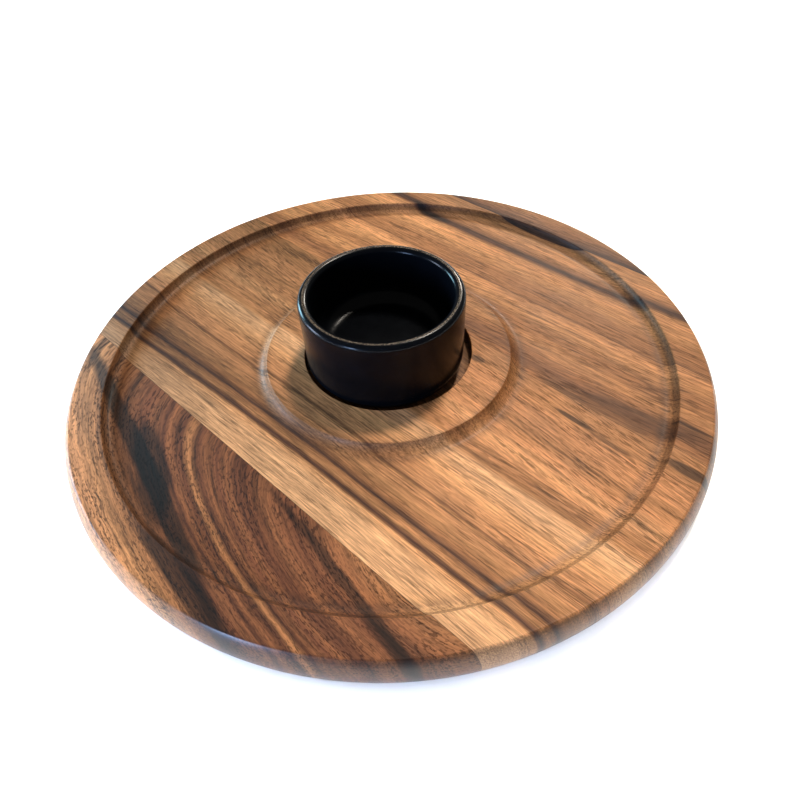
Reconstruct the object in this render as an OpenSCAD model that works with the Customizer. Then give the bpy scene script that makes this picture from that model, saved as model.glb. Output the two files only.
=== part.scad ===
// Chip and dip server: a round tray glued up from hardwood staves, with a ring-shaped
// hollow for chips and a seat in its raised centre for a loose glazed dip bowl.
// Frame: origin at the bottom centre of the tray, +X along the grain, +Z up.

/* [Tray] */
// Diameter of the tray at the widest line of its rounded edge
tray_d = 355.6; // [295:0.1:440]
// Thickness of the tray
tray_h = 20; // [15:0.5:26]
// How far the rounded edge swells out past the top and bottom arrises
edge_swell = 4.3; // [2:0.1:7]

/* [Chip hollow] */
// Width of the flat rim around the chip hollow
rim_w = 16.4; // [10:0.1:24]
// Depth of the chip hollow below the rim
hollow_depth = 5; // [3:0.1:7]
// Radius of the cove along the outer wall of the chip hollow
wall_cove_r = 6.5; // [3:0.1:12]
// Radius of the cove at the foot of the raised centre
centre_cove_r = 8; // [3:0.1:12]

/* [Raised centre] */
// Width of the flat ring between the seat and the chip hollow
centre_rim_w = 21.7; // [12:0.1:30]
// Depth of the seat that the bowl stands in
seat_depth = 7; // [4:0.1:9]
// Gap all round between a centred bowl and the wall of its seat
seat_gap = 3; // [1:0.1:6]

/* [Dip bowl] */
// Outside diameter of the bowl
bowl_d = 88.4; // [70:0.1:105]
// Height of the bowl
bowl_h = 47.2; // [38:0.1:60]
// Thickness of the bowl's wall
bowl_wall = 6; // [3.5:0.1:8]
// Height of the bowl's inside floor above its foot
bowl_floor = 13.5; // [8:0.1:18]
// Radius of the cove between the floor and the wall inside the bowl
bowl_cove_r = 10; // [4:0.1:15]
// Radius of the rounded edge under the bowl
bowl_foot_r = 9; // [4:0.1:12]
// Width of the foot ring that the bowl stands on, from the bowl's outside
foot_ring_w = 14; // [13:0.1:20]
// Depth of the shallow recess inside the foot ring
foot_recess = 3.5; // [1:0.1:5]
// Share of the seat gap by which the loose bowl stands off centre, towards the -X -Y side
bowl_drift = 0.57; // [0:0.01:0.9]

/* [Staves] */
// Relative widths of the four staves from the -Y edge of the tray
near_stave_shares = [75.6, 43.2, 42, 55.3]; // [20:0.1:90]
// Relative widths of the four staves that follow, up to the +Y edge
far_stave_shares = [54, 38.2, 23, 24.3]; // [20:0.1:90]

/* [Hidden] */
$fn = 96;

tray_r = tray_d / 2;
arris_r = tray_r - edge_swell;
// The edge is one arc through both arrises, with its middle at half the thickness
edge_arc_r = (pow(tray_h / 2, 2) + pow(edge_swell, 2)) / (2 * edge_swell);

bowl_r = bowl_d / 2;
seat_r = bowl_r + seat_gap;
centre_r = seat_r + centre_rim_w;
hollow_r = arris_r - rim_w;
hollow_floor_z = tray_h - hollow_depth;
seat_floor_z = tray_h - seat_depth;
over = 1; // how far a cut runs past the face it opens

bowl_drift_each = seat_gap * bowl_drift * cos(45);
bowl_lip_r = bowl_wall / 2;

stave_shares = concat(near_stave_shares, far_stave_shares);
// Sum of the first n stave shares
function share_sum(n) = n == 0 ? 0 : stave_shares[n - 1] + share_sum(n - 1);
share_total = share_sum(len(stave_shares));
// Y of the n-th seam, where seam 0 and the last seam are the edges of the tray
function seam_y(n) = tray_d * share_sum(n) / share_total - tray_r;

stave_colours = ["saddlebrown", "burlywood", "peru", "tan", "peru", "sienna", "tan", "saddlebrown"];

// How far a cove reaches out along the hollow's floor from the arris where it starts
function cove_reach(r) = sqrt(pow(r, 2) - pow(max(r - hollow_depth, 0), 2));

// Half section of the solid tray: a flat disc with one shallow arc for an edge
module tray_blank_section() {
    intersection() {
        square([tray_r, tray_h]);
        union() {
            square([arris_r, tray_h]);
            translate([tray_r - edge_arc_r, tray_h / 2]) circle(edge_arc_r);
        }
    }
}

// A cove that rises from the edge of the hollow's floor, with a straight wall above it
// where the hollow is deeper than the cove
module cove_section(floor_edge_r, r) {
    translate([floor_edge_r, hollow_floor_z + r]) {
        circle(r);
        translate([-r, 0]) square([2 * r, hollow_depth + over]);
    }
}

// Half section of the chip hollow: a flat floor with a cove up to each arris
module hollow_section() {
    inner_floor_r = centre_r + cove_reach(centre_cove_r);
    outer_floor_r = hollow_r - cove_reach(wall_cove_r);
    intersection() {
        translate([centre_r, hollow_floor_z]) square([hollow_r - centre_r, hollow_depth + over]);
        union() {
            translate([inner_floor_r, hollow_floor_z])
                square([outer_floor_r - inner_floor_r, hollow_depth + over]);
            cove_section(inner_floor_r, centre_cove_r);
            cove_section(outer_floor_r, wall_cove_r);
        }
    }
}

module tray_section() {
    difference() {
        tray_blank_section();
        hollow_section();
        translate([0, seat_floor_z]) square([seat_r, seat_depth + over]);
    }
}

// One strip of the tray between two seams
module stave(n) {
    color(stave_colours[n])
        intersection() {
            rotate_extrude() tray_section();
            translate([-tray_r - over, seam_y(n), -over])
                cube([tray_d + 2 * over, seam_y(n + 1) - seam_y(n), tray_h + 2 * over]);
        }
}

// Half section of the bowl, with its foot at height 0
module bowl_section() {
    inside_r = bowl_r - bowl_wall;
    lip_z = bowl_h - bowl_lip_r;
    difference() {
        union() {
            translate([0, bowl_foot_r]) square([bowl_r, lip_z - bowl_foot_r]);
            square([bowl_r - bowl_foot_r, bowl_foot_r]);
            translate([bowl_r - bowl_foot_r, bowl_foot_r]) circle(bowl_foot_r);
            translate([bowl_r - bowl_lip_r, lip_z]) circle(bowl_lip_r);
        }
        translate([0, bowl_floor + bowl_cove_r]) square([inside_r, bowl_h]);
        translate([0, bowl_floor]) square([inside_r - bowl_cove_r, bowl_cove_r + over]);
        translate([inside_r - bowl_cove_r, bowl_floor + bowl_cove_r]) circle(bowl_cove_r);
        translate([0, -over]) square([bowl_r - foot_ring_w, foot_recess + over]);
    }
}

module dip_bowl() {
    color([0.08, 0.09, 0.11])
        translate([-bowl_drift_each, -bowl_drift_each, seat_floor_z])
            rotate_extrude() bowl_section();
}

stave(0);  // stave_1
stave(1);  // stave_2
stave(2);  // stave_3
stave(3);  // stave_4
stave(4);  // stave_5
stave(5);  // stave_6
stave(6);  // stave_7
stave(7);  // stave_8
dip_bowl();
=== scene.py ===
import math

import bmesh
import bpy
from mathutils import Matrix, Vector


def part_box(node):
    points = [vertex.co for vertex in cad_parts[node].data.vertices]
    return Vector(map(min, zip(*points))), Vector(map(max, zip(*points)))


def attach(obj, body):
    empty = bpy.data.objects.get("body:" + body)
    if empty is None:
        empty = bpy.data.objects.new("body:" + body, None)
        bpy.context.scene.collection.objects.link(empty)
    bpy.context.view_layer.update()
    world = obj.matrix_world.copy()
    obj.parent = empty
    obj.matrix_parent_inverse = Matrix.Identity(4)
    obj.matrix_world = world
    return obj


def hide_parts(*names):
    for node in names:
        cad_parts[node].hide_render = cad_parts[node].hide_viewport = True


# Chip and dip server: a tray glued up from eight hardwood staves and a loose glazed dip bowl.
# +X runs along the grain, +Y across the staves, +Z up. Wood figure is given in millimetres.

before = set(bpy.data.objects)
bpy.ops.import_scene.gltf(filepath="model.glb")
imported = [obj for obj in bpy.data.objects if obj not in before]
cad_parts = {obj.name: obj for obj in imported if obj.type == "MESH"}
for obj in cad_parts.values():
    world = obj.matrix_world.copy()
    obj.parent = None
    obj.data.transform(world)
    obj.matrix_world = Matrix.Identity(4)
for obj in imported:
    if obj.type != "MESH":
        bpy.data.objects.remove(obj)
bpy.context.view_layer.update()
mm = 0.001

traySizes = {
    "edgeSwell": 4.3 * mm,      # how far the rounded edge stands out past its arrises
    "rimWidth": 16.4 * mm,      # flat rim around the chip hollow
    "hollowDepth": 5 * mm,
    "wallCove": 6.5 * mm,       # cove radius at the hollow's outer wall
    "centreCove": 8 * mm,       # cove radius at the foot of the raised centre
    "centreRim": 21.7 * mm,     # flat ring round the seat
    "seatDepth": 7 * mm,
    "seatGap": 3 * mm,
    "arrisRound": 0.5 * mm,     # sanded rounding on every crisp edge
    "arcStep": 0.8 * mm,        # length of one step along a curve of the section
    "turns": 360,
}
mergeDistance = 0.001 * mm      # points closer than this are one point

staveBoxes = [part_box("stave_%d" % n) for n in range(1, 9)]
trayTop = max(high.z for low, high in staveBoxes)
trayRadius = max(high.x for low, high in staveBoxes)
seams = [low.y for low, high in staveBoxes[1:]]
bowlLow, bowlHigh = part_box("dip_bowl")
bowlCentre = (bowlLow + bowlHigh) / 2
bowlRadius = (bowlHigh.x - bowlLow.x) / 2
bowlHeight = bowlHigh.z - bowlLow.z

arrisRadius = trayRadius - traySizes["edgeSwell"]
hollowRadius = arrisRadius - traySizes["rimWidth"]
seatRadius = bowlRadius + traySizes["seatGap"]
centreRadius = seatRadius + traySizes["centreRim"]
print("frame read: tray radius %.1f mm, bowl radius %.1f mm" % (trayRadius / mm, bowlRadius / mm))


# A turned shape starts as a line of edges in the XZ plane, which is then spun about Z

class Section:
    def __init__(self, arcStep):
        self.bm = bmesh.new()
        self.arcStep = arcStep
        self.last = None
        self.corners = []

    def start(self, radius, height):
        self.last = self.bm.verts.new((radius, 0, height))
        return self

    def line(self, radius, height, rounded=False):
        vert = self.bm.verts.new((radius, 0, height))
        self.bm.edges.new((self.last, vert))
        self.last = vert
        if rounded:
            self.corners.append(vert)
        return self

    # Swings the last point about a centre: a positive angle turns it from +X towards +Z
    def arc(self, centreRadius, centreHeight, degrees, rounded=False):
        centre = Vector((centreRadius, 0, centreHeight))
        radius = (self.last.co - centre).length
        angle = math.radians(degrees)
        steps = max(4, math.ceil(abs(angle) * radius / self.arcStep))
        made = bmesh.ops.spin(self.bm, geom=[self.last], cent=centre, axis=(0, -1, 0),
                              angle=angle, steps=steps)
        self.last = [g for g in made["geom_last"] if isinstance(g, bmesh.types.BMVert)][0]
        if rounded:
            self.corners.append(self.last)
        return self

    def turned(self, name, turns, cornerRound):
        bm = self.bm
        bmesh.ops.remove_doubles(bm, verts=bm.verts[:], dist=mergeDistance)
        corners = [v for v in self.corners if v.is_valid]
        bmesh.ops.bevel(bm, geom=corners, offset=cornerRound, segments=4, profile=0.5,
                        affect="VERTICES", material=-1, clamp_overlap=True)
        bmesh.ops.spin(bm, geom=bm.verts[:] + bm.edges[:], cent=(0, 0, 0), axis=(0, 0, 1),
                       angle=math.tau, steps=turns, use_merge=True)
        bmesh.ops.remove_doubles(bm, verts=bm.verts[:], dist=mergeDistance)
        bmesh.ops.recalc_face_normals(bm, faces=bm.faces[:])
        mesh = bpy.data.meshes.new(name)
        bm.to_mesh(mesh)
        bm.free()
        return mesh


sharpDegrees = 40               # faces that meet at more than this show an edge


def showPiece(mesh, name, body, node):
    mesh.name = name
    mesh.shade_smooth()
    mesh.set_sharp_from_angle(angle=math.radians(sharpDegrees))
    piece = bpy.data.objects.new(name, mesh)
    bpy.context.scene.collection.objects.link(piece)
    evenShading = piece.modifiers.new("evenShading", "WEIGHTED_NORMAL")
    evenShading.keep_sharp = True
    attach(piece, body)
    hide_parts(node)
    return piece


def coveReach(radius, depth):
    return math.sqrt(radius ** 2 - max(radius - depth, 0) ** 2)


def coveAngle(radius, depth):
    return math.degrees(math.acos(max(radius - depth, 0) / radius))


def turnTray():
    s = traySizes
    depth = s["hollowDepth"]
    floorZ = trayTop - depth
    seatZ = trayTop - s["seatDepth"]
    wallFoot = hollowRadius - coveReach(s["wallCove"], depth)
    centreFoot = centreRadius + coveReach(s["centreCove"], depth)
    edgeArc = ((trayTop / 2) ** 2 + s["edgeSwell"] ** 2) / (2 * s["edgeSwell"])
    edgeHalfAngle = math.degrees(math.asin(trayTop / 2 / edgeArc))

    section = Section(s["arcStep"]).start(0, 0)
    section.line(arrisRadius, 0, rounded=True)
    section.arc(trayRadius - edgeArc, trayTop / 2, 2 * edgeHalfAngle, rounded=True)
    section.line(hollowRadius, trayTop, rounded=True)
    section.arc(wallFoot, floorZ + s["wallCove"], -coveAngle(s["wallCove"], depth))
    section.line(centreFoot, floorZ)
    section.arc(centreFoot, floorZ + s["centreCove"], -coveAngle(s["centreCove"], depth), rounded=True)
    section.line(seatRadius, trayTop, rounded=True)
    section.line(seatRadius, seatZ, rounded=True)
    section.line(0, seatZ)
    return section.turned("trayBlank", s["turns"], s["arrisRound"])


# Keeps the strip of the turned tray between two seams and closes the sawn faces
def cutStave(blank, lowSeam, highSeam):
    bm = bmesh.new()
    bm.from_mesh(blank)
    for seam, side in ((lowSeam, -1), (highSeam, 1)):
        if seam is None:
            continue
        cut = bmesh.ops.bisect_plane(bm, geom=bm.verts[:] + bm.edges[:] + bm.faces[:],
                                     dist=mergeDistance / 10, plane_co=(0, seam, 0),
                                     plane_no=(0, side, 0), clear_outer=True)
        rim = [g for g in cut["geom_cut"] if isinstance(g, bmesh.types.BMEdge)]
        bmesh.ops.edgeloop_fill(bm, edges=rim)
    bmesh.ops.recalc_face_normals(bm, faces=bm.faces[:])
    mesh = bpy.data.meshes.new("stave")
    bm.to_mesh(mesh)
    bm.free()
    return mesh


bowlSizes = {
    "wall": 6 * mm,
    "insideFloor": 13.5 * mm,   # height of the inside floor above the foot
    "insideCove": 10 * mm,
    "footRound": 9 * mm,
    "footRing": 14 * mm,
    "footRecess": 3.5 * mm,
    "recessRound": 1 * mm,
    "arcStep": 0.6 * mm,
    "turns": 256,
}


def turnBowl():
    s = bowlSizes
    top = bowlHeight
    lip = s["wall"] / 2
    insideRadius = bowlRadius - s["wall"]
    recessRadius = bowlRadius - s["footRing"]
    section = Section(s["arcStep"]).start(0, s["footRecess"])
    section.line(recessRadius, s["footRecess"], rounded=True)
    section.line(recessRadius, 0, rounded=True)
    section.line(bowlRadius - s["footRound"], 0)
    section.arc(bowlRadius - s["footRound"], s["footRound"], 90)
    section.line(bowlRadius, top - lip)
    section.arc(bowlRadius - lip, top - lip, 180)
    section.line(insideRadius, s["insideFloor"] + s["insideCove"])
    section.arc(insideRadius - s["insideCove"], s["insideFloor"] + s["insideCove"], -90)
    section.line(0, s["insideFloor"])
    mesh = section.turned("bowlTurned", s["turns"], s["recessRound"])
    mesh.transform(Matrix.Translation((bowlCentre.x, bowlCentre.y, bowlLow.z)))
    return mesh


# Shader maths: a Value is an output socket that adds Math nodes when it is used in an expression

class Value:
    def __init__(self, shade, socket):
        self.shade = shade
        self.socket = socket

    def joined(self, operation, first, second):
        return self.shade.node("Math", {"operation": operation}, {0: first, 1: second})

    def __add__(self, other):
        return self.joined("ADD", self, other)

    def __radd__(self, other):
        return self.joined("ADD", other, self)

    def __sub__(self, other):
        return self.joined("SUBTRACT", self, other)

    def __rsub__(self, other):
        return self.joined("SUBTRACT", other, self)

    def __mul__(self, other):
        return self.joined("MULTIPLY", self, other)

    def __truediv__(self, other):
        return self.joined("DIVIDE", self, other)


class Shade:
    def __init__(self, name):
        self.material = bpy.data.materials.new(name)
        self.material.use_nodes = True
        self.tree = self.material.node_tree
        self.surface = self.tree.nodes["Principled BSDF"]

    def plug(self, socket, value):
        if isinstance(value, Value):
            self.tree.links.new(value.socket, socket)
        else:
            socket.default_value = value

    def node(self, kind, settings, sockets, output=0):
        made = self.tree.nodes.new("ShaderNode" + kind)
        for key, value in settings.items():
            if key == "stops":
                self.setStops(made.color_ramp, value)
            else:
                setattr(made, key, value)
        for key, value in sockets.items():
            self.plug(made.inputs[key], value)
        return Value(self, made.outputs[output])

    def setStops(self, ramp, stops):
        while len(ramp.elements) < len(stops):
            ramp.elements.new(1)
        for element, (place, colour) in zip(ramp.elements, stops):
            element.position = place
            element.color = (*colour, 1)

    # Object coordinates in millimetres, as three values
    def place(self):
        metres = self.node("TexCoord", {}, {}, "Object")
        parts = self.node("VectorMath", {"operation": "SCALE"}, {0: metres, "Scale": 1 / mm})
        return [self.node("SeparateXYZ", {}, {0: parts}, axis) for axis in "XYZ"]

    def vector(self, x, y, z):
        return self.node("CombineXYZ", {}, {0: x, 1: y, 2: z})

    def noise(self, x, y, z, detail=2.0, roughness=0.5):
        return self.node("TexNoise", {"noise_dimensions": "3D"},
                         {"Vector": self.vector(x, y, z), "Scale": 1.0, "Detail": detail,
                          "Roughness": roughness})

    # 0 below low, 1 above high, with a smooth rise between them; low may be the larger one
    def rise(self, value, low, high):
        return self.node("MapRange", {"interpolation_type": "SMOOTHSTEP"},
                         {"Value": value, 1: low, 2: high, 3: 0.0, 4: 1.0})

    def size(self, value):
        return self.node("Math", {"operation": "ABSOLUTE"}, {0: value})

    # 1 within half a width of the middle, fading to 0 over the softness
    def band(self, value, middle, halfWidth, softness):
        return self.rise(self.size(value - middle), halfWidth + softness, halfWidth)

    def length(self, x, y, z=0.0):
        return self.node("VectorMath", {"operation": "LENGTH"}, {0: self.vector(x, y, z)}, "Value")

    def mix(self, factor, first, second, blend="MIX"):
        return self.node("Mix", {"data_type": "RGBA", "blend_type": blend, "clamp_factor": True},
                         {0: factor, 6: first, 7: second}, 2)

    def scaled(self, colour, amount):
        return self.node("VectorMath", {"operation": "SCALE"}, {0: colour, "Scale": amount})

    def bump(self, height, strength, distance):
        return self.node("Bump", {}, {"Height": height, "Strength": strength, "Distance": distance})

    def finish(self, **sockets):
        for key, value in sockets.items():
            self.plug(self.surface.inputs[key.replace("_", " ")], value)
        return self.material


# A screen colour given as 0 to 255, turned to the linear values that shaders use
def rgb(red, green, blue):
    def linear(part):
        part /= 255
        return part / 12.92 if part <= 0.04045 else ((part + 0.055) / 1.055) ** 2.4
    return (linear(red), linear(green), linear(blue))


def rgba(red, green, blue):
    return (*rgb(red, green, blue), 1)


sap = rgb(212, 157, 108)
honey = rgb(206, 146, 94)
tan = rgb(190, 129, 81)
toffee = rgb(170, 116, 71)
brown = rgb(148, 97, 58)
umber = rgb(116, 74, 45)
russet = rgb(128, 78, 46)
chestnut = rgb(108, 62, 37)
mahogany = rgb(90, 51, 31)
walnut = rgb(74, 46, 32)
ink = rgb(34, 25, 22)

# The figure of each stave. The growth rings are stretched circles about a pith line:
# stretch squeezes the distance along the grain, and tones are (distance from the pith, colour).
# Tilt slants the fibres against the rings. Fade darkens the stave towards its -X end, and a
# negative fade lightens it; the fade is partly the wood's own tone and partly painted shade.
# A mark is (x, y, half its length, half its width, tilt, strength).
staveFigures = [
    {
        "name": "chestnutStave", "slot": "dark_wood", "seed": 3,
        "pith": (110, -92, 15), "stretch": 0.36, "sway": 5, "ripple": 2.6, "tilt": 0, "toneAndShadeFade": 0,
        "tones": [(12, brown), (22, russet), (30, chestnut), (36, russet), (40, chestnut), (43, mahogany),
                  (46, russet), (48, mahogany), (51, russet), (53.5, mahogany), (56, brown),
                  (58, mahogany), (61.5, russet), (63, mahogany), (66, russet), (69, chestnut),
                  (73, russet), (78, umber),
                  (81, brown), (86, toffee), (91, tan)],
        "bands": 0.60, "lines": 0.75, "lineWidth": 1.2, "dashes": 0.95, "dashLength": 2.6,
        "dashWidth": 0.65,
        "marks": [(-38, -137, 112, 5.2, -0.26, 1.0), (-34, -136, 34, 9.5, -0.42, 1.0),
                  (36, -161, 46, 5.2, -0.07, 1.0), (80, -113.5, 66, 2.6, -0.17, 0.8),
                  (124, -121.5, 30, 3.2, -0.08, 0.85)],
    },
    {
        "name": "sapwoodStave", "slot": "pale_wood", "seed": 11,
        "pith": (100, -180, 15), "stretch": 0.157, "sway": 2, "ripple": 0.8, "tilt": 0, "toneAndShadeFade": 0.45,
        "tones": [(76, sap), (92, sap), (97.8, honey), (98.8, umber), (100, walnut), (101.2, umber),
                  (102.5, toffee), (105.5, brown), (106.8, walnut), (108.2, umber), (110, brown),
                  (114, toffee), (120.5, tan), (124, tan)],
        "bands": 0.26, "lines": 0.60, "lineWidth": 0.8, "dashes": 0.55, "dashLength": 9,
        "dashWidth": 0.55, "marks": [],
    },
    {
        "name": "honeyStave", "slot": "tan_wood", "seed": 23,
        "pith": (40, -240, 15), "stretch": 0.05, "sway": 2.4, "ripple": 1.0, "tilt": 0, "toneAndShadeFade": 0.22,
        "tones": [(180, tan), (182, toffee), (183.4, umber), (185, tan), (190, tan), (198, honey),
                  (206, sap), (211, sap), (213, honey), (214.5, toffee), (218, tan), (221, toffee),
                  (225, tan)],
        "bands": 0.30, "lines": 0.80, "lineWidth": 1.0, "dashes": 0.60, "dashLength": 9,
        "dashWidth": 0.8, "marks": [(112, -25, 40, 4.5, 0.02, 0.45)],
    },
    {
        "name": "middleStave", "slot": "tan_wood", "seed": 37,
        "pith": (-60, -210, 15), "stretch": 0.06, "sway": 5, "ripple": 1.8, "tilt": 0.13, "toneAndShadeFade": 0.30,
        "tones": [(190, toffee), (193, tan), (200, honey), (207, tan), (214, toffee), (222, tan),
                  (230, tan), (236, toffee), (240, toffee), (250, toffee)],
        "bands": 0.32, "lines": 0.80, "lineWidth": 1.0, "dashes": 0.75, "dashLength": 7,
        "dashWidth": 0.85, "marks": [(106, 27.5, 13, 1.7, -0.04, 1.0), (166, 30, 15, 3.4, 0.0, 1.0),
                                     (128, 25, 14, 1.5, 0.0, 0.7), (44, 26.5, 5, 2.6, 0.1, 0.8),
                                     (112, 10, 26, 9, -0.15, 0.22)],
    },
    {
        "name": "wavyStave", "slot": "tan_wood", "seed": 41,
        "pith": (60, -160, 15), "stretch": 0.08, "sway": 6, "ripple": 3.0, "tilt": -0.05, "toneAndShadeFade": -0.5,
        "tones": [(196, toffee), (201, brown), (208, umber), (214, brown), (222, toffee), (232, brown),
                  (240, toffee), (248, tan), (254, brown)],
        "bands": 0.30, "lines": 0.60, "lineWidth": 1.3, "dashes": 0.60, "dashLength": 8,
        "dashWidth": 0.9, "marks": [(130, 47, 38, 10, 0.14, 0.50), (88, 41, 18, 1.6, 0.0, 0.6),
                                    (155, 55, 12, 1.3, 0.0, 0.8)],
    },
    {
        "name": "toffeeStave", "slot": "brown_wood", "seed": 59,
        "pith": (0, 20, 15), "stretch": 0.04, "sway": 2.5, "ripple": 1.2, "tilt": 0, "toneAndShadeFade": -0.5,
        "tones": [(71, umber), (74, brown), (84, brown), (92, toffee), (101, tan), (105, toffee),
                  (107.4, umber), (109, walnut), (112, walnut)],
        "bands": 0.28, "lines": 0.50, "lineWidth": 1.4, "dashes": 0.50, "dashLength": 8,
        # The mark at (-78, 130) is painted shade on the hollow's wall cove
        "dashWidth": 0.9, "marks": [(-78, 130, 18, 4.5, 0.0, 0.9)],
    },
    {
        "name": "narrowStave", "slot": "tan_wood", "seed": 67,
        "pith": (-20, 0, 15), "stretch": 0.04, "sway": 2, "ripple": 0.9, "tilt": 0, "toneAndShadeFade": 0,
        "tones": [(129, walnut), (131, walnut), (135, brown), (141, tan), (148, toffee), (156, brown)],
        "bands": 0.26, "lines": 0.45, "lineWidth": 1.2, "dashes": 0.45, "dashLength": 8,
        "dashWidth": 0.9, "marks": [],
    },
    {
        "name": "farStave", "slot": "brown_wood", "seed": 73,
        "pith": (30, 60, 15), "stretch": 0.05, "sway": 2, "ripple": 0.9, "tilt": 0, "toneAndShadeFade": -0.5,
        "tones": [(92, ink), (95.5, walnut), (100, umber), (108, brown), (122, brown)],
        "bands": 0.26, "lines": 0.45, "lineWidth": 1.2, "dashes": 0.45, "dashLength": 8,
        "dashWidth": 0.9, "marks": [],
    },
]


# Lengths along the grain and widths across it, in mm. A range is where a noise starts and ends
# to show, and a dark is the share of the colour that is left. A burnish or the painted rim shade
# is (how far into the hollow from its arris, half its width, its softness).
woodSettings = {
    "seedStep": 17.0,           # how far apart two seeds lie in the noise
    "swayLength": 130, "swayWidth": 55,
    "rippleLength": 26, "rippleWidth": 10,
    "growthLength": 240, "growthWidth": 2.6, "growthContrast": 4,
    "mottleLength": 34, "mottleWidth": 16, "mottleContrast": 0.4,
    "fibreLength": 15, "fibreWidth": 0.7, "fibreContrast": 2.3,
    "fadeFrom": 60, "fadeTo": -110,
    "clusterLength": 48, "clusterWidth": 6, "clusterRange": (0.36, 0.62),
    "lineLength": 36, "lineRange": (0.52, 0.64), "lineDark": 0.30,
    "dashRange": (0.52, 0.59), "dashDark": 0.34, "dashAlone": 0.45,
    "markRange": (1.15, 0.65), "markDark": 0.22, "markLeast": 0.55, "markGrowth": 0.9,
    "wallBurnish": (4, 2, 4), "centreBurnish": (4, 2.5, 5), "paintedRimShade": (1.3, 0.8, 0.9),
    "speckleLength": 1.5, "speckleLeast": 0.3, "speckleContrast": 1.4,
    "burnishDark": 0.45, "burnishStrength": 0.55, "paintedRimShadeStrength": 0.6,
    "seatDark": 0.40,
    "seatDepths": (0.5, 2),     # how far below the tray's top the seat's tone starts and is full
    "seatPast": (2, 1),         # how far past the seat's wall it ends, and is still full
    "endGrainDark": 0.28, "endGrainStrength": 0.8, "endGrainFade": 1.2,
    "glueColour": rgba(52, 34, 24), "glueHalf": 0.08, "glueSoft": 0.14, "glueStrength": 0.6,
    "roughness": 0.56, "mottleRoughness": 0.16, "dashRoughness": 0.15, "fibreRoughness": 0.08,
    "fibreRelief": 0.5, "bumpStrength": 0.5, "bumpDepth": 0.05 * mm,
    "polishRange": (-1, 0.5),   # where the edge's polish starts and is full, from the arris
    "edgePolish": 0.5, "covePolish": 0.06, "coatRoughness": 0.3, "specular": 0.16,
}


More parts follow.
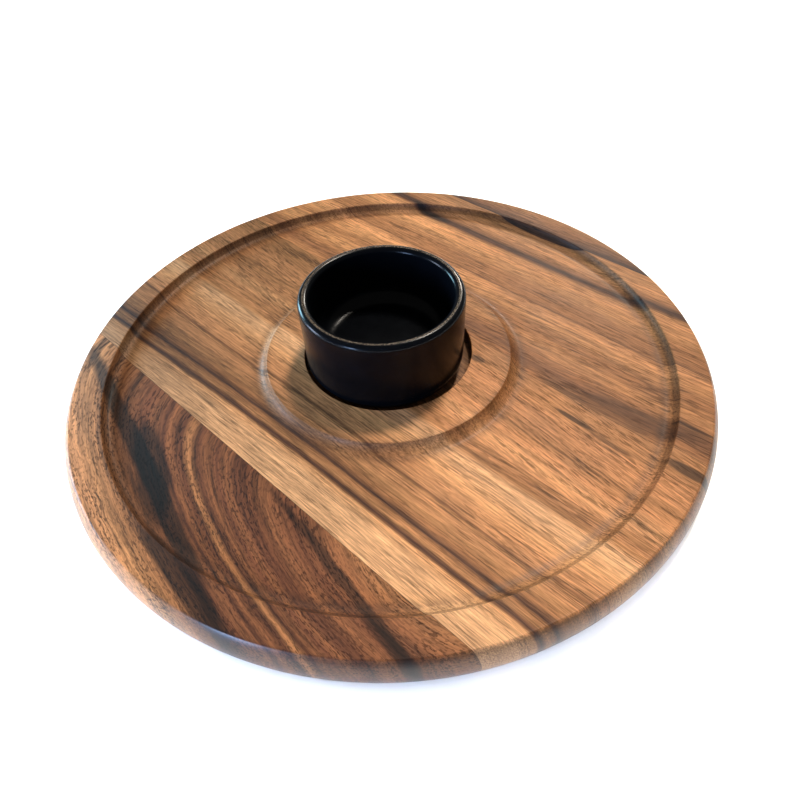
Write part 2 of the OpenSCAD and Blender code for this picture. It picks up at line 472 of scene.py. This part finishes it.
def woodShade(figure, lowSeam, highSeam):
    s = woodSettings
    shade = Shade(figure["name"])
    x, y, z = shade.place()
    seed = figure["seed"] * s["seedStep"]
    pithX, pithY, pithZ = figure["pith"]

    # Growth rings: distance from the pith, bent by a slow sway and a quick ripple
    sway = shade.noise(x / s["swayLength"], y / s["swayWidth"] + seed, z / s["swayWidth"], 1.0)
    ripple = shade.noise(x / s["rippleLength"] + seed, y / s["rippleWidth"], z / s["rippleWidth"], 2.0)
    across = y + (sway - 0.5) * figure["sway"] + (ripple - 0.5) * figure["ripple"]
    ring = shade.length((x - pithX) * figure["stretch"], across - pithY, z - pithZ)

    first = figure["tones"][0][0]
    span = figure["tones"][-1][0] - first
    stops = [((distance - first) / span, colour) for distance, colour in figure["tones"]]
    colour = shade.node("ValToRGB", {"stops": stops}, {0: (ring - first) / span})

    # Light and dark along the rings, in clouds and along the fibres; the fade towards -X is partly painted
    # shade
    growth = shade.noise(x / s["growthLength"], ring / s["growthWidth"], seed, 3.0, 0.65)
    mottle = shade.noise(x / s["mottleLength"], y / s["mottleWidth"], z / s["mottleWidth"] + seed, 2.0)
    grain = ring + x * figure["tilt"]
    fibre = shade.noise(x / s["fibreLength"], grain / s["fibreWidth"], z / s["fibreWidth"] + seed, 3.0, 0.7)
    # The fade is partly the wood's tone and partly painted shade, where the light falls off across the tray
    toneAndShadeFade = 1 - shade.rise(x, s["fadeFrom"], s["fadeTo"]) * figure["toneAndShadeFade"]
    growthLight = (growth - 0.5) * figure["bands"] * s["growthContrast"]
    fibreLight = (fibre - 0.5) * s["fibreContrast"]
    light = 1 + growthLight + fibreLight + (mottle - 0.5) * s["mottleContrast"]
    colour = shade.scaled(colour, light * toneAndShadeFade)

    # Long dark lines and short pores, thicker where the rings cluster
    cluster = shade.noise(x / s["clusterLength"], ring / s["clusterWidth"], seed + 9, 1.0)
    cluster = shade.rise(cluster, *s["clusterRange"])
    line = shade.noise(x / s["lineLength"], grain / figure["lineWidth"], seed + 13, 3.0, 0.62)
    line = shade.rise(line, *s["lineRange"]) * cluster * figure["lines"]
    colour = shade.mix(line, colour, shade.scaled(colour, s["lineDark"]))

    dash = shade.noise(x / figure["dashLength"], grain / figure["dashWidth"],
                       z / figure["dashWidth"] + seed, 1.5, 0.6)
    inCluster = s["dashAlone"] + cluster * (1 - s["dashAlone"])
    dash = shade.rise(dash, *s["dashRange"]) * inCluster * figure["dashes"]
    colour = shade.mix(dash, colour, shade.scaled(colour, s["dashDark"]))

    for markX, markY, halfLength, halfWidth, tilt, strength in figure["marks"]:
        alongMark = (x - markX) / halfLength
        acrossMark = (across - markY - (x - markX) * tilt) / halfWidth
        mark = shade.rise(shade.length(alongMark, acrossMark), *s["markRange"])
        mark = mark * strength * (s["markLeast"] + growth * s["markGrowth"])
        colour = shade.mix(mark, colour, shade.scaled(colour, s["markDark"]))

    # Both coves are burnished in speckles, and a painted shade line darkens the hollow's wall under the rim
    fromAxis = shade.length(x, y)
    speckle = s["speckleLeast"] + shade.noise(x / s["speckleLength"], y, z, 2.0) * s["speckleContrast"]
    inset, halfWidth, softness = s["wallBurnish"]
    outerBurnish = shade.band(fromAxis, hollowRadius / mm - inset, halfWidth, softness)
    inset, halfWidth, softness = s["centreBurnish"]
    innerBurnish = shade.band(fromAxis, centreRadius / mm + inset, halfWidth, softness)
    inset, halfWidth, softness = s["paintedRimShade"]
    paintedRimShade = shade.band(fromAxis, hollowRadius / mm - inset, halfWidth, softness) * s["paintedRimShadeStrength"]
    burnish = (outerBurnish + innerBurnish) * speckle * s["burnishStrength"] + paintedRimShade
    colour = shade.mix(burnish, colour, shade.scaled(colour, s["burnishDark"]))

    # The seat is toned down by choice, to stand in for the shade that the bowl throws into it
    belowTop = shade.rise(z, *[trayTop / mm - depth for depth in s["seatDepths"]])
    sunk = belowTop * shade.rise(fromAxis, *[seatRadius / mm + past for past in s["seatPast"]])
    colour = shade.mix(sunk, colour, shade.scaled(colour, s["seatDark"]))

    endGrain = shade.rise(fromAxis, arrisRadius / mm, arrisRadius / mm + s["endGrainFade"])
    endGrain = endGrain * (shade.size(x) / fromAxis) * s["endGrainStrength"]
    colour = shade.mix(endGrain, colour, shade.scaled(colour, s["endGrainDark"]))

    for seam in (lowSeam, highSeam):
        if seam is not None:
            glue = shade.band(y, seam / mm, s["glueHalf"], s["glueSoft"]) * s["glueStrength"]
            colour = shade.mix(glue, colour, s["glueColour"])

    roughness = s["roughness"] + (mottle - 0.5) * s["mottleRoughness"] + dash * s["dashRoughness"]
    roughness = roughness + (fibre - 0.5) * s["fibreRoughness"]
    relief = shade.bump((fibre - 0.5) * s["fibreRelief"] - dash, s["bumpStrength"], s["bumpDepth"])
    polish = shade.rise(fromAxis, *[arrisRadius / mm + past for past in s["polishRange"]])
    polish = polish * s["edgePolish"] + (outerBurnish + innerBurnish) * s["covePolish"]
    return shade.finish(Base_Color=colour, Roughness=roughness, Normal=relief,
                        Specular_IOR_Level=s["specular"], Coat_Weight=polish,
                        Coat_Roughness=s["coatRoughness"])


glazeSettings = {
    "dark": rgba(5, 6, 8), "light": rgba(8, 11, 16), "cloudSize": 9,
    "crestColour": rgba(134, 118, 100), "crestStrength": 0.75,
    "crestPlace": 0.52,         # how far in from the outside the worn line runs, as a share of the wall
    "crestFlat": 0.8,           # squeezes heights, so that the worn line is a little taller than wide
    "crestRange": (0.85, 0.3), "wearRange": (0.40, 0.62),
    "clayFoot": (0.9, 0.6),     # height above the foot where the bare clay ends, and is still full
    "clayRecess": (0.2, 0.2),   # half the height of the bare band at the recess, and its softness
    "clayPast": (0.6, 0.2),     # how far into the foot's rounding the clay ends, and is still full
    "clayDark": rgba(120, 98, 80), "clayLight": rgba(176, 152, 128), "gritSize": 0.5,
    "peelSize": 2.6,            # the slight orange peel of the glaze
    "bumpStrength": 0.35, "bumpDepth": 0.10 * mm,
    "roughness": 0.22, "cloudRoughness": 0.1, "wornRoughness": 0.1, "clayRoughness": 0.5,
    "gritRelief": 0.08, "specular": 0.12,
}


def glazeShade():
    s = glazeSettings
    shade = Shade("blackGlaze")
    x, y, z = shade.place()
    across = x - bowlCentre.x / mm
    along = y - bowlCentre.y / mm
    fromAxis = shade.length(across, along)
    height = z - bowlLow.z / mm

    cloud = shade.noise(across / s["cloudSize"], along / s["cloudSize"], height / s["cloudSize"], 3.0)
    colour = shade.mix(cloud, s["dark"], s["light"])

    # The glaze is worn thin in speckles along the crest of the lip
    crestRadius = (bowlRadius - bowlSizes["wall"] * s["crestPlace"]) / mm
    crest = shade.length(fromAxis - crestRadius, (height - bowlHeight / mm) * s["crestFlat"])
    breaks = shade.noise(across / s["gritSize"], along / s["gritSize"], height / s["gritSize"], 2.0, 0.6)
    worn = shade.rise(crest, *s["crestRange"]) * shade.rise(breaks, *s["wearRange"])
    colour = shade.mix(worn * s["crestStrength"], colour, s["crestColour"])

    # Bare clay on the foot ring and in the recess inside it
    bareFloor = bowlSizes["footRecess"] / mm
    footEdge = (bowlRadius - bowlSizes["footRound"]) / mm
    bare = shade.rise(height, *s["clayFoot"]) + shade.band(height, bareFloor, *s["clayRecess"])
    bare = bare * shade.rise(fromAxis, *[footEdge + past for past in s["clayPast"]])
    grit = shade.noise(across / s["gritSize"], along / s["gritSize"], height / s["gritSize"], 3.0, 0.7)
    colour = shade.mix(bare, colour, shade.mix(grit, s["clayDark"], s["clayLight"]))

    roughness = s["roughness"] + (cloud - 0.5) * s["cloudRoughness"] + worn * s["wornRoughness"]
    roughness = roughness + bare * s["clayRoughness"]
    peel = shade.noise(across / s["peelSize"], along / s["peelSize"], height / s["peelSize"], 2.0)
    relief = shade.bump(peel + grit * s["gritRelief"], s["bumpStrength"], s["bumpDepth"])
    return shade.finish(Base_Color=colour, Roughness=roughness, Normal=relief,
                        Specular_IOR_Level=s["specular"])


trayBlank = turnTray()
edges = [None, *seams, None]
for number, figure in enumerate(staveFigures):
    lowSeam, highSeam = edges[number], edges[number + 1]
    strip = cutStave(trayBlank, lowSeam, highSeam)
    stave = showPiece(strip, figure["name"], "tray", "stave_%d" % (number + 1))
    stave.data.materials.append(woodShade(figure, lowSeam, highSeam))
print("tray cut into", len(staveFigures), "staves")

bowlPiece = showPiece(turnBowl(), "dipBowl", "bowl", "dip_bowl")
bowlPiece.data.materials.append(glazeShade())
print("bowl turned and glazed")


cameraSettings = {
    "azimuth": 44.7,            # degrees round from looking along +Y
    "elevation": 47.5,
    "roll": 2.9,
    "distance": 0.3218,
    "aimRight": 5.2 * mm,       # aim point, from the middle of the tray's top
    "aimNear": 40.6 * mm,
    "lens": 27.66,
    "sensor": 36,
}

# The camera's own directions, in the frame
azimuth = math.radians(cameraSettings["azimuth"])
elevation = math.radians(cameraSettings["elevation"])
right = Vector((math.cos(azimuth), math.sin(azimuth), 0))
near = Vector((math.sin(azimuth), -math.cos(azimuth), 0))
trayMiddle = Vector((0, 0, trayTop))


def addCamera():
    s = cameraSettings
    back = near * math.cos(elevation) + Vector((0, 0, math.sin(elevation)))
    up = back.cross(right)
    roll = math.radians(s["roll"])
    rolledRight = right * math.cos(roll) - up * math.sin(roll)
    rolledUp = up * math.cos(roll) + right * math.sin(roll)
    aim = trayMiddle + right * s["aimRight"] + near * s["aimNear"]
    camera = bpy.data.objects.new("camera", bpy.data.cameras.new("camera"))
    camera.data.lens = s["lens"]
    camera.data.sensor_width = s["sensor"]
    camera.data.clip_start = 0.01
    turn = Matrix((rolledRight, rolledUp, back)).transposed().to_4x4()
    camera.matrix_world = Matrix.Translation(aim + back * s["distance"]) @ turn
    bpy.context.scene.collection.objects.link(camera)
    bpy.context.scene.camera = camera


# Each light stands off the tray's middle: degrees round from the right of the view, degrees up.
# Its spread is how widely it fans out, in degrees. All of them aim at the tray's near side.
lightSettings = [
    {"name": "windowHigh", "round": 60, "up": 61, "away": 3, "size": 0.5, "spread": 17, "watts": 0.94,
     "colour": (1.0, 0.91, 0.80)},
    {"name": "windowLow", "round": 68, "up": 29, "away": 3, "size": 0.47, "spread": 12, "watts": 0.40,
     "colour": (1.0, 0.91, 0.80)},
    {"name": "leftWindow", "round": 178, "up": 10, "away": 0.75, "size": 0.25, "spread": 180, "watts": 5,
     "colour": (0.62, 0.74, 1.0)},
    {"name": "tealLeft", "round": 146, "up": 12, "away": 0.8, "size": 0.26, "spread": 180, "watts": 6,
     "colour": (0.42, 0.80, 1.0)},
    {"name": "blueFront", "round": 230, "up": 12, "away": 0.9, "size": 0.20, "spread": 180, "watts": 6,
     "colour": (0.40, 0.60, 1.0)},
]
lightAim = {"right": 36 * mm, "near": 120 * mm}
roomSettings = {
    "colour": (1.0, 0.98, 0.95, 1), "strength": 0.16,
    "floorHalf": 4,             # metres from the middle of the floor to its edge
    "paper": rgba(240, 239, 236), "paperRoughness": 0.9,
    "lightSize": 6, "lightHeight": 3, "lightWatts": 230,
}


def addLight(name, place, aim, size, spread, watts, colour):
    light = bpy.data.objects.new(name, bpy.data.lights.new(name, "AREA"))
    light.data.shape = "DISK"
    light.data.size = size
    light.data.spread = math.radians(spread)
    light.data.energy = watts
    light.data.color = colour
    turn = (place - aim).to_track_quat("Z", "Y").to_matrix().to_4x4()
    light.matrix_world = Matrix.Translation(place) @ turn
    bpy.context.scene.collection.objects.link(light)
    return light


def addLights():
    aim = trayMiddle + right * lightAim["right"] + near * lightAim["near"]
    for s in lightSettings:
        around, up = math.radians(s["round"]), math.radians(s["up"])
        level = right * math.cos(around) - near * math.sin(around)
        place = trayMiddle + (level * math.cos(up) + Vector((0, 0, math.sin(up)))) * s["away"]
        addLight(s["name"], place, aim, s["size"], s["spread"], s["watts"], s["colour"])


def addRoom():
    s = roomSettings
    world = bpy.data.worlds.new("softRoom")
    world.use_nodes = True
    background = world.node_tree.nodes["Background"]
    background.inputs["Color"].default_value = s["colour"]
    background.inputs["Strength"].default_value = s["strength"]
    bpy.context.scene.world = world
    floorMesh = bpy.data.meshes.new("floor")
    bm = bmesh.new()
    bmesh.ops.create_grid(bm, x_segments=1, y_segments=1, size=s["floorHalf"])
    bm.to_mesh(floorMesh)
    bm.free()
    floor = bpy.data.objects.new("floor", floorMesh)
    bpy.context.scene.collection.objects.link(floor)
    paper = Shade("palePaper")
    floorMesh.materials.append(paper.finish(Base_Color=s["paper"], Roughness=s["paperRoughness"]))

    # One even light reaches the floor alone, so that the floor stays pale to its far corners
    onlyFloor = bpy.data.collections.new("onlyFloor")
    onlyFloor.objects.link(floor)
    overhead = Vector((0, 0, s["lightHeight"]))
    even = addLight("floorLight", overhead, Vector((0, 0, 0)), s["lightSize"], 180, s["lightWatts"],
                    (1.0, 1.0, 1.0))
    even.light_linking.receiver_collection = onlyFloor


addCamera()
addLights()
addRoom()
bpy.context.scene.view_settings.view_transform = "Standard"
print("camera, lights and floor in place")
